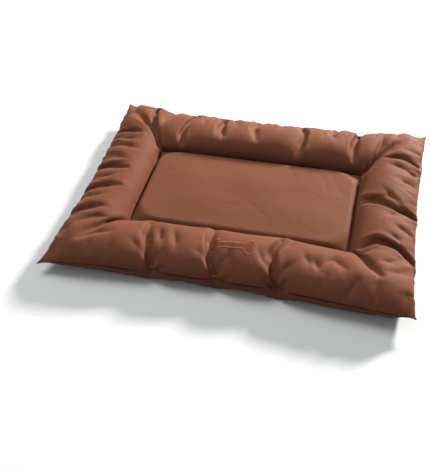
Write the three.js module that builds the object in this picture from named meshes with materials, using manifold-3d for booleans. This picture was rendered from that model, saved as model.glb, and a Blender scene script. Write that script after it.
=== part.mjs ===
// Rectangular pet cushion bed, in millimetres, +Z up, resting on Z = 0.
// X runs along the long side, Y from the front (-Y) to the back (+Y).
// A flat centre pad is framed by a fat stuffed border. The cover is a top
// panel, a border panel and a base panel, sewn together through all layers
// around the centre rectangle and along the outer edge. A coil zip closes the
// outer edge along the back.
import * as THREE from "three";
import { mergeVertices } from "three/addons/utils/BufferGeometryUtils.js";
import Module from "manifold-3d";

const wasm = await Module();
wasm.setup();

// ---------------------------------------------------------------- dimensions
const LENGTH = 1000; // corner tip to corner tip along X
const DEPTH = 700; // corner tip to corner tip along Y
const BORDER = 190; // width of the stuffed border, seam to seam
const CROWN = 98; // top of the border above the floor
const CORNER_CROWN = 90; // top of the border on the corner diagonals
const SEAM_Z = 39.6; // outer seam, top face of the upper fabric
const TIP_Z = 35; // outer seam at the four corner tips
const QUILT_Z = 26; // centre seam, top face of the upper fabric
const PAD_EDGE = 50; // centre panel just inside its seam
const PAD_CROWN = 62; // centre panel in the middle
const FABRIC = 1.2; // coated woven cover
const GAP = 0.4; // gap kept between touching solids
const FILL_GAP = 1.8; // gap between fill and cover
const FRONT_BOW = 20; // how far the front edge pulls in between its corners
const BACK_BOW = 22;
const SIDE_BOW = 18;

const ZIP_HALF = 310; // the cover's edges are parted this far each side of x = 0
const ZIP_Z = 38; // centreline of the zip
const ZIP_Y = DEPTH / 2 - BACK_BOW; // outer face of the fabric edges at the zip
const TAPE_T = 0.8;
const TAPE_OUT = 12; // tape reaches this far from the centreline
const RAIL_GAP = 1.2; // running gap between the two coils
const RAIL_H = 2.3;
const RAIL_T = 2.2;
const COIL_HALF = 290;
const SLIDER_X = 276; // slider's place when the zip is closed
const BAR_R = 0.7; // bail bar of the slider
const BAR_OUT = 3.3; // bail bar's centre, out from the slider's plate

const HX = LENGTH / 2,
  HY = DEPTH / 2,
  IX = HX - BORDER,
  IY = HY - BORDER;

// ------------------------------------------------------------ mesh utilities
const smooth = (a, b, x) => {
  const t = Math.min(1, Math.max(0, (x - a) / (b - a)));
  return t * t * (3 - 2 * t);
};
const mix = (a, b, t) => a + (b - a) * t;

function geometryOf(points, faces) {
  const pos = new Float32Array(points.flat());
  return new THREE.BufferGeometry()
    .setAttribute("position", new THREE.BufferAttribute(pos, 3))
    .setIndex(faces);
}

// Grid of points rows x cols as faces; flip turns them over; wrap joins the last column to the first.
function gridFaces(faces, base, rows, cols, flip, wrap) {
  const n = wrap ? cols : cols - 1;
  for (let r = 0; r < rows - 1; r++)
    for (let c = 0; c < n; c++) {
      const a = base + r * cols + c,
        b = base + r * cols + ((c + 1) % cols),
        d = a + cols,
        e = b + cols;
      if (flip) faces.push(a, d, b, b, d, e);
      else faces.push(a, b, d, b, e, d);
    }
}

// Solid between an upper and a lower grid whose columns run all the way round.
// cap closes the last row with a centre point on each face; without it the last row keeps a rim.
function ringSolid(upper, lower, cap) {
  const rows = upper.length,
    cols = upper[0].length,
    points = [...upper.flat(), ...lower.flat()],
    faces = [],
    L = rows * cols;
  gridFaces(faces, 0, rows, cols, false, true);
  gridFaces(faces, L, rows, cols, true, true);
  const around = (row, each) => {
    for (let c = 0; c < cols; c++) each(row * cols + c, row * cols + ((c + 1) % cols));
  };
  around(0, (a, b) => faces.push(b, a, a + L, b, a + L, b + L));
  if (!cap) {
    around(rows - 1, (a, b) => faces.push(a, b, b + L, a, b + L, a + L));
    return geometryOf(points, faces);
  }
  const centre = (grid) => {
    const s = grid[rows - 1].reduce((p, q) => [p[0] + q[0], p[1] + q[1], p[2] + q[2]]);
    return s.map((x) => x / cols);
  };
  const cu = points.length;
  points.push(centre(upper), centre(lower));
  around(rows - 1, (a, b) => faces.push(a, b, cu, b + L, a + L, cu + 1));
  return geometryOf(points, faces);
}

// Solid between an upper and a lower grid with four walls.
function padSolid(upper, lower) {
  const rows = upper.length,
    cols = upper[0].length,
    points = [...upper.flat(), ...lower.flat()],
    faces = [],
    L = rows * cols;
  gridFaces(faces, 0, rows, cols, false, false);
  gridFaces(faces, L, rows, cols, true, false);
  const wall = (a, b) => faces.push(a, a + L, b, b, a + L, b + L);
  for (let c = 0; c < cols - 1; c++) {
    wall(c, c + 1);
    wall((rows - 1) * cols + c + 1, (rows - 1) * cols + c);
  }
  for (let r = 0; r < rows - 1; r++) {
    wall((r + 1) * cols, r * cols);
    wall(r * cols + cols - 1, (r + 1) * cols + cols - 1);
  }
  return geometryOf(points, faces);
}

// Turns a geometry's faces so that its volume is positive.
function outward(g) {
  const p = g.getAttribute("position"),
    ix = g.index.array;
  let v = 0;
  const A = new THREE.Vector3(),
    B = new THREE.Vector3(),
    C = new THREE.Vector3();
  for (let i = 0; i < ix.length; i += 3) {
    A.fromBufferAttribute(p, ix[i]);
    B.fromBufferAttribute(p, ix[i + 1]);
    C.fromBufferAttribute(p, ix[i + 2]);
    v += A.dot(B.cross(C));
  }
  if (v < 0)
    for (let i = 0; i < ix.length; i += 3)
      [ix[i + 1], ix[i + 2]] = [ix[i + 2], ix[i + 1]];
  return g;
}

function toSolid(g) {
  const bare = g.index ? g.toNonIndexed() : g.clone();
  bare.deleteAttribute("normal");
  bare.deleteAttribute("uv");
  const m = mergeVertices(bare, 1e-4);
  return new wasm.Manifold(
    new wasm.Mesh({
      numProp: 3,
      vertProperties: m.attributes.position.array,
      triVerts: new Uint32Array(m.index.array),
    }),
  );
}

function fromSolid(s) {
  const m = s.getMesh(),
    v = new Float32Array(m.numVert * 3);
  for (let i = 0; i < m.numVert; i++)
    v.set(m.vertProperties.subarray(i * m.numProp, i * m.numProp + 3), i * 3);
  return new THREE.BufferGeometry()
    .setAttribute("position", new THREE.BufferAttribute(v, 3))
    .setIndex([...m.triVerts]);
}

const box = (x0, x1, y0, y1, z0, z1) =>
  new THREE.BoxGeometry(x1 - x0, y1 - y0, z1 - z0).translate(
    (x0 + x1) / 2,
    (y0 + y1) / 2,
    (z0 + z1) / 2,
  );

// ------------------------------------------------- plan of the border channel
// Each station is a line across the border from the centre seam (I) to the outer seam (O).
const alongX = [-500, -425, -350, -310, -155, 0, 155, 310, 350, 425];
const alongY = [-350, -280, -210, -120, 0, 120, 210, 280];
const pinch = (a, limit, inner, outer) => {
  // equal near the middle, then squeezed so the corner diagonal meets the inner corner
  const s = Math.sign(a),
    m = Math.abs(a);
  return s * (m <= limit ? m : mix(limit, inner, (m - limit) / (outer - limit)));
};
const outerAt = (side, t) => {
  if (side === "front") return [t, -HY + FRONT_BOW * (1 - (t / HX) ** 2)];
  if (side === "back")
    return [t, HY - BACK_BOW * (1 - smooth(ZIP_HALF, HX, Math.abs(t)))];
  const x = HX - SIDE_BOW * (1 - (t / HY) ** 2);
  return side === "right" ? [x, t] : [-x, t];
};
const stations = [];
const addStation = (side, t) => {
  const long = side === "front" || side === "back";
  const I = long
    ? [pinch(t, 225, IX, HX), side === "front" ? -IY : IY]
    : [side === "right" ? IX : -IX, pinch(t, 90, IY, HY)];
  const corner = long ? Math.abs(t) / HX : Math.abs(t) / HY;
  const zip = side === "back" && Math.abs(t) <= ZIP_HALF;
  stations.push({ side, t, I, O: outerAt(side, t), corner, zip });
};
alongX.forEach((x) => addStation("front", x));
alongY.forEach((y) => addStation("right", y));
[...alongX].forEach((x) => addStation("back", -x));
[...alongY].forEach((y) => addStation("left", -y));

const V = [0, 0.07, 0.22, 0.42, 0.62, 0.8, 0.93, 1];
const BASE_RISE = [0.88, 0.38, 0, 0, 0, 0, 0.42, 1];

const planAt = (s, v) => [mix(s.I[0], s.O[0], v), mix(s.I[1], s.O[1], v)];
const topSeam = (s) => (s.zip ? ZIP_Z + 9 : mix(SEAM_Z, TIP_Z, smooth(0.9, 1, s.corner)));
const baseSeam = (s) =>
  s.zip ? ZIP_Z - 9 : topSeam(s) - FABRIC - GAP; // upper face of the base fabric
const topZ = (s, v) => {
  const crown = mix(CROWN, CORNER_CROWN, smooth(0.75, 1, s.corner));
  const line = mix(QUILT_Z, topSeam(s), v);
  const mid = mix(QUILT_Z, topSeam(s), 0.5);
  return line + (crown - mid) * Math.sin(Math.PI * v) ** 0.6;
};
const baseZ = (s, i) => {
  // upper face of the base fabric at sample i
  const seam = i < 3 ? QUILT_Z - FABRIC - GAP : baseSeam(s);
  return mix(FABRIC, seam, i < 3 ? BASE_RISE[i] / 0.88 : BASE_RISE[i]);
};

const skin = (height, lift) =>
  V.map((v, i) => stations.map((s) => [...planAt(s, v), height(s, v, i) + lift]));

// ------------------------------------------------------------- cover panels
const borderPanel = ringSolid(
  skin((s, v) => topZ(s, v), 0),
  skin((s, v) => topZ(s, v), -FABRIC),
  false,
);

// Centre rectangle, in rings that shrink towards the middle.
const K = [1, 0.955, 0.86, 0.6, 0.3];
const PAD_Z = [0, 0.72, 1, 1, 1];
const centreTop = (k, i) =>
  i === 0
    ? QUILT_Z
    : mix(QUILT_Z, PAD_EDGE, PAD_Z[i]) +
      (PAD_CROWN - PAD_EDGE) * smooth(1, 0.35, k) * (i > 1 ? 1 : 0);
const centreRing = (lift, inset, from = 0) =>
  K.slice(from).map((k, j) =>
    stations.map((s) => {
      const f = 1 - inset / IY;
      return [s.I[0] * k * f, s.I[1] * k * f, centreTop(k, j + from) + lift];
    }),
  );
const centrePanel = ringSolid(centreRing(0, 0.6), centreRing(-FABRIC, 0.6), true);

// Base panel: the border's underside and the centre's underside in one cloth.
const BASE_K = [0.93, 0.84];
const baseRows = (lift) => [
  ...[...V.keys()]
    .reverse()
    .map((i) =>
      stations.map((s) => [...planAt(s, V[i]), baseZ(s, i) + lift]),
    ),
  ...BASE_K.map((k, j) =>
    stations.map((s) => [
      s.I[0] * k,
      s.I[1] * k,
      mix(FABRIC, QUILT_Z - FABRIC - GAP, j === 0 ? 0.38 : 0) + lift,
    ]),
  ),
];
const basePanel = ringSolid(baseRows(0), baseRows(-FABRIC), true);

// -------------------------------------------------------------------- fills
const FILL_V = [1, 2, 3, 4, 5, 6]; // samples of V that the fill uses
function bolster(from, to) {
  const cols = [];
  for (let i = from; i <= to; i++) cols.push(stations[i % stations.length]);
  const n = cols.length;
  const place = (c, i, z) => {
    // the two ends stand back from the mitre
    const s = cols[c],
      q = c === 0 ? cols[1] : c === n - 1 ? cols[n - 2] : s;
    const f = c === 0 || c === n - 1 ? 0.06 : 0;
    const a = planAt(s, V[i]),
      b = planAt(q, V[i]);
    return [mix(a[0], b[0], f), mix(a[1], b[1], f), mix(z(s, i), z(q, i), f)];
  };
  const upper = FILL_V.map((i) =>
    cols.map((s, c) => place(c, i, (q, j) => topZ(q, V[j]) - FABRIC - FILL_GAP)),
  );
  const lower = FILL_V.map((i) =>
    cols.map((s, c) => place(c, i, (q, j) => baseZ(q, j) + FILL_GAP)),
  );
  return padSolid(upper, lower);
}
const nF = alongX.length,
  nR = alongY.length;
const bolsterFront = bolster(0, nF);
const bolsterRight = bolster(nF, nF + nR);
const bolsterBack = bolster(nF + nR, 2 * nF + nR);
const bolsterLeft = bolster(2 * nF + nR, 2 * nF + 2 * nR);

const padTop = K.slice(1).map((k, j) =>
  stations.map((s) => [
    s.I[0] * k * 0.995,
    s.I[1] * k * 0.995,
    centreTop(k, j + 1) - FABRIC - FILL_GAP,
  ]),
);
const PAD_LIFT = [15.6, 3.4, 0, 0]; // the pad's underside clears the base panel's rise to the seam
const padLow = K.slice(1).map((k, j) =>
  stations.map((s) => [
    s.I[0] * k * 0.995,
    s.I[1] * k * 0.995,
    FABRIC + FILL_GAP + PAD_LIFT[j],
  ]),
);
const centrePad = ringSolid(padTop, padLow, true);

// ------------------------------------------------------------------- threads
// A thread of square section through the given points; closed joins its ends.
function threadAlong(path, half, closed) {
  const n = path.length,
    points = [],
    faces = [];
  path.forEach((p) => {
    const d = new THREE.Vector2(p[0], p[1]).normalize().multiplyScalar(half);
    points.push(
      [p[0] - d.x, p[1] - d.y, p[2] - half],
      [p[0] + d.x, p[1] + d.y, p[2] - half],
      [p[0] + d.x, p[1] + d.y, p[2] + half],
      [p[0] - d.x, p[1] - d.y, p[2] + half],
    );
  });
  for (let i = 0; i < (closed ? n : n - 1); i++)
    for (let k = 0; k < 4; k++) {
      const a = i * 4 + k,
        b = i * 4 + ((k + 1) % 4),
        c = ((i + 1) % n) * 4 + k,
        d = ((i + 1) % n) * 4 + ((k + 1) % 4);
      faces.push(a, c, b, b, c, d);
    }
  if (!closed) {
    const e = (n - 1) * 4;
    faces.push(0, 1, 2, 0, 2, 3, e, e + 2, e + 1, e, e + 3, e + 2);
  }
  return geometryOf(points, faces);
}
const quiltThread = threadAlong(
  stations.map((s) => [s.I[0] * 0.9985, s.I[1] * 0.9985, QUILT_Z + 1.6]),
  0.5,
  true,
);
// The outer seam's thread runs from one end of the zip round the front to the other end.
const zipFirst = stations.findIndex((s) => s.zip),
  zipLast = stations.findLastIndex((s) => s.zip);
const seamRun = [...stations.slice(zipLast + 1), ...stations.slice(0, zipFirst)];
const seamThread = threadAlong(
  seamRun.map((s) => {
    const d = new THREE.Vector2(s.O[0], s.O[1]).normalize().multiplyScalar(1.1);
    return [s.O[0] + d.x, s.O[1] + d.y, topSeam(s) - FABRIC];
  }),
  0.4,
  false,
);

// ---------------------------------------------------------------------- zip
const tape = (sign) => {
  const near = ZIP_Z + sign * (RAIL_GAP / 2),
    far = ZIP_Z + sign * TAPE_OUT;
  return box(
    -ZIP_HALF + 4,
    ZIP_HALF - 4,
    ZIP_Y + GAP,
    ZIP_Y + GAP + TAPE_T,
    Math.min(near, far),
    Math.max(near, far),
  );
};
const RAIL_Y0 = ZIP_Y + GAP + TAPE_T + 0.3;
const rail = (sign) => {
  const a = ZIP_Z + sign * (RAIL_GAP / 2),
    b = ZIP_Z + sign * (RAIL_GAP / 2 + RAIL_H);
  const lo = Math.min(a, b),
    hi = Math.max(a, b),
    r = 0.6;
  const shape = new THREE.Shape(); // y across, z up, with the outer edges rounded off
  shape.moveTo(0, lo);
  shape.lineTo(RAIL_T - r, lo);
  shape.lineTo(RAIL_T, lo + r);
  shape.lineTo(RAIL_T, hi - r);
  shape.lineTo(RAIL_T - r, hi);
  shape.lineTo(0, hi);
  const g = new THREE.ExtrudeGeometry(shape, { depth: 2 * COIL_HALF, bevelEnabled: false });
  // shape (x, y), extruded along z, becomes (y, z), extruded along x
  g.applyMatrix4(new THREE.Matrix4().set(0, 0, 1, -COIL_HALF, 1, 0, 0, RAIL_Y0, 0, 1, 0, 0, 0, 0, 0, 1));
  return g;
};
const stop = (sign) =>
  box(
    Math.min(sign * (COIL_HALF + 0.4), sign * (COIL_HALF + 4)),
    Math.max(sign * (COIL_HALF + 0.4), sign * (COIL_HALF + 4)),
    RAIL_Y0,
    RAIL_Y0 + RAIL_T + 0.4,
    ZIP_Z - 3.6,
    ZIP_Z + 3.6,
  );

// Slider: a plate behind the tapes and one in front of the coils, joined by a thin post between them,
// with a bail whose bar runs along X.
const PLATE_BACK = ZIP_Y + GAP - 0.4; // outer face of the plate behind the tapes
const PLATE_FRONT = RAIL_Y0 + RAIL_T + 0.4; // inner face of the plate in front of the coils
const PLATE_T = 1.3;
const BAR_Y = PLATE_FRONT + PLATE_T + BAR_OUT;
const plate = (y0, y1, half, height) => {
  const s = new THREE.Shape(); // x along, z up, tapered to one end
  s.moveTo(-half, -height * 0.7);
  s.lineTo(half - 3, -height);
  s.lineTo(half, -height + 2);
  s.lineTo(half, height - 2);
  s.lineTo(half - 3, height);
  s.lineTo(-half, height * 0.7);
  s.closePath();
  const g = new THREE.ExtrudeGeometry(s, { depth: y1 - y0, bevelEnabled: false });
  g.applyMatrix4(new THREE.Matrix4().set(1, 0, 0, SLIDER_X, 0, 0, -1, y1, 0, 1, 0, ZIP_Z, 0, 0, 0, 1));
  return g;
};
const bar = new THREE.CylinderGeometry(BAR_R, BAR_R, 10.4, 14)
  .rotateZ(Math.PI / 2)
  .translate(SLIDER_X, BAR_Y, ZIP_Z);
const bailLeg = (sign) => {
  const x = [SLIDER_X + sign * 3.8, SLIDER_X + sign * 5.2].sort((a, b) => a - b);
  return box(x[0], x[1], PLATE_FRONT + PLATE_T - 0.4, BAR_Y, ZIP_Z - BAR_R, ZIP_Z + BAR_R);
};
const post = box(
  SLIDER_X - 2.5,
  SLIDER_X + 2.5,
  PLATE_BACK - 0.3,
  PLATE_FRONT + 0.3,
  ZIP_Z - 0.3,
  ZIP_Z + 0.3,
);
const slider = fromSolid(
  toSolid(plate(PLATE_FRONT, PLATE_FRONT + PLATE_T, 6.5, 4.6))
    .add(toSolid(plate(PLATE_BACK - PLATE_T, PLATE_BACK, 6.5, 4.2)))
    .add(toSolid(post))
    .add(toSolid(bar))
    .add(toSolid(bailLeg(1)))
    .add(toSolid(bailLeg(-1))),
);

// Pull: a wire ring through the bail, and a flat tab hanging in the ring.
const RING_R = 2.3,
  RING_WIRE = 0.6;
const RING_DROP = RING_R - RING_WIRE - BAR_R - 0.2; // ring's centre below the bar
const ringZ = ZIP_Z - RING_DROP;
const pullRing = new THREE.TorusGeometry(RING_R, RING_WIRE, 8, 20)
  .rotateY(Math.PI / 2)
  .translate(SLIDER_X, BAR_Y, ringZ);
const tabShape = new THREE.Shape(); // x across, z down from the ring's wire
const TAB_TOP = 1.9,
  TAB_LONG = 24;
tabShape.moveTo(-1.6, TAB_TOP);
tabShape.lineTo(1.6, TAB_TOP);
tabShape.lineTo(2.6, 0.6);
tabShape.lineTo(4, -4);
tabShape.lineTo(4, -TAB_LONG + 2);
tabShape.lineTo(2.6, -TAB_LONG);
tabShape.lineTo(-2.6, -TAB_LONG);
tabShape.lineTo(-4, -TAB_LONG + 2);
tabShape.lineTo(-4, -4);
tabShape.lineTo(-2.6, 0.6);
tabShape.closePath();
const tabPlate = new THREE.ExtrudeGeometry(tabShape, { depth: 1.6, bevelEnabled: false });
const eyelet = new THREE.CylinderGeometry(1.05, 1.05, 4, 14).rotateX(Math.PI / 2).translate(0, 0, 0.8);
const pullTab = fromSolid(toSolid(tabPlate).subtract(toSolid(eyelet)));
pullTab.applyMatrix4(
  new THREE.Matrix4().set(1, 0, 0, SLIDER_X, 0, 0, -1, BAR_Y + 0.8, 0, 1, 0, ringZ - RING_R, 0, 0, 0, 1),
);

// -------------------------------------------------------- label and emblem
// Folded care label, sewn into the outer seam at the back and hanging from it.
const LABEL_X = -372;
const labelY = outerAt("back", LABEL_X - 17)[1] + 2;
const careLabel = box(LABEL_X - 17, LABEL_X + 17, labelY, labelY + 1, 9, SEAM_Z - 3);

// Embroidered bone on the front border. It lies on the border panel and follows it.
const EMBLEM = { x: 14, y: -258, long: 118, wide: 36 };
const boneHalf = (t) => {
  // half width of the bone at t along its length, -1 to 1
  const m = Math.abs(t);
  const knob = Math.sqrt(Math.max(0, 1 - ((m - 0.8) / 0.2) ** 2));
  return (EMBLEM.wide / 2) * Math.max(0.42, m > 0.6 ? 0.42 + 0.58 * knob : 0.42) * (m > 0.999 ? 0.45 : 1);
};
const BONE_T = [-1, -0.96, -0.88, -0.78, -0.68, -0.6, 0.6, 0.68, 0.78, 0.88, 0.96, 1];
const boneShape = new THREE.Shape(
  [
    ...BONE_T.map((t) => [t, -1]),
    ...[...BONE_T].reverse().map((t) => [t, 1]),
  ].map(([t, s]) => new THREE.Vector2(EMBLEM.x + (t * EMBLEM.long) / 2, EMBLEM.y + s * boneHalf(t))),
);
const boneBlock = new THREE.ExtrudeGeometry(boneShape, { depth: 90, bevelEnabled: false }).translate(0, 0, 40);
const threadLayer = ringSolid(
  skin((s, v) => topZ(s, v), 1.6),
  skin((s, v) => topZ(s, v), 0.5),
  false,
);
const emblem = fromSolid(toSolid(boneBlock).intersect(toSolid(outward(threadLayer))));

// ----------------------------------------------------------------- assembly
const fabric = new THREE.MeshStandardMaterial({ color: 0x6e4436, roughness: 0.72, metalness: 0 });
const base = new THREE.MeshStandardMaterial({ color: 0x5c3a2f, roughness: 0.8, metalness: 0 });
const fibre = new THREE.MeshStandardMaterial({ color: 0xe9e6df, roughness: 0.95, metalness: 0 });
const thread = new THREE.MeshStandardMaterial({ color: 0x4f2f26, roughness: 0.6, metalness: 0 });
const copper = new THREE.MeshStandardMaterial({ color: 0x7d452c, roughness: 0.5, metalness: 0 });
const tapeCloth = new THREE.MeshStandardMaterial({ color: 0x4a2f28, roughness: 0.8, metalness: 0 });
const nylon = new THREE.MeshStandardMaterial({ color: 0x3f2822, roughness: 0.45, metalness: 0 });
const metal = new THREE.MeshStandardMaterial({ color: 0x6f5f52, roughness: 0.35, metalness: 0.9 });
const rubber = new THREE.MeshStandardMaterial({ color: 0x35221d, roughness: 0.6, metalness: 0 });
const satin = new THREE.MeshStandardMaterial({ color: 0xdcd6cc, roughness: 0.5, metalness: 0 });

const bed = new THREE.Group();
const add = (name, geometry, material, into = bed) => {
  const mesh = new THREE.Mesh(geometry.index ? outward(geometry) : geometry, material);
  mesh.name = name;
  into.add(mesh);
  return mesh;
};

add("base_panel", basePanel, base);
add("border_top_panel", borderPanel, fabric);
add("centre_top_panel", centrePanel, fabric);
add("centre_fill_pad", centrePad, fibre);
add("bolster_front", bolsterFront, fibre);
add("bolster_right", bolsterRight, fibre);
add("bolster_back", bolsterBack, fibre);
add("bolster_left", bolsterLeft, fibre);
add("quilting_thread", quiltThread, thread);
add("outer_seam_thread", seamThread, thread);
add("embroidered_emblem", emblem, copper);
add("care_label", careLabel, satin);
add("zip_tape_upper", tape(1), tapeCloth);
add("zip_tape_lower", tape(-1), tapeCloth);
add("zip_coil_upper", rail(1), nylon);
add("zip_coil_lower", rail(-1), nylon);
add("zip_stop_closed_end", stop(1), metal);
add("zip_stop_open_end", stop(-1), metal);

const sliderGroup = new THREE.Group();
add("zip_slider", slider, metal, sliderGroup);
add("zip_pull_ring", pullRing, metal, sliderGroup);
add("zip_pull_tab", pullTab, rubber, sliderGroup);
bed.add(sliderGroup);

export default bed;
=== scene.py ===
import math
import bpy
import bmesh
import numpy as np
from mathutils import Matrix, Vector


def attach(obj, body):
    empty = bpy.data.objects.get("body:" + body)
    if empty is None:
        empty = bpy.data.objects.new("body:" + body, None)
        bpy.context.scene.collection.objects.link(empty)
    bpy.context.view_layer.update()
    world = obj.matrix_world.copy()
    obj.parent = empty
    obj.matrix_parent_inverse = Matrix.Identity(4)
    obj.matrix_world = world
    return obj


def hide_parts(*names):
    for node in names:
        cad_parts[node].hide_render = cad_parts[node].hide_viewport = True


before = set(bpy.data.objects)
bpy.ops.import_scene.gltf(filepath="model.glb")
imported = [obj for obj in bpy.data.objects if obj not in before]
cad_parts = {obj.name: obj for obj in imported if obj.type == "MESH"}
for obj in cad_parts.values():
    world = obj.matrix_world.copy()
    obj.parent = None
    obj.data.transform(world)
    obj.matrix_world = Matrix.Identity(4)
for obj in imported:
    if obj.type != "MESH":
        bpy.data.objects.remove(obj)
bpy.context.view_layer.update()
BODY = "cushion"
MM = 0.001

# ------------------------------------------------------------ cloth simulation
# Two sheets, top (0) and bottom (1), on one rectangular grid. Arrays are
# [3, sheet, row, column]; rows run front to back, columns left to right.
HX, HY, IX, IY = 500.0, 350.0, 310.0, 160.0
QUILT_TOP, QUILT_LOW = 31.0, 27.0
TIPS = {"FL": (-509.6, -358.0, 31.0), "FR": (493.2, -341.0, 36.0),
        "BR": (488.5, 357.7, 47.0), "BL": (-488.3, 361.0, 48.0)}
ZIP_Y, ZIP_TOP, ZIP_LOW, ZIP_DRAW = 330.7, 43.4, 32.6, 0.965
WT = (209.0, 217.0)            # flat width of the border's top cloth, at the sides and at front and back
WB = (200.0, 209.0)            # and of the base's cloth below it
SEAM_FRONT, SEAM_BACK, SEAM_LEFT, SEAM_RIGHT = 0.977, 0.937, 0.953, 0.938  # how far each outer seam is gathered
F = np.float32


def crease(points, depth, radius=9.0, notch=0.0, ends=(1.0, 0.5)):
    """A fold line through points given in cm from the front left corner."""
    p = np.array(points, float) * 10.0 - np.array([500.0, 350.0])
    return dict(p=p, depth=depth, r=radius, notch=notch, ends=ends)


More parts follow.
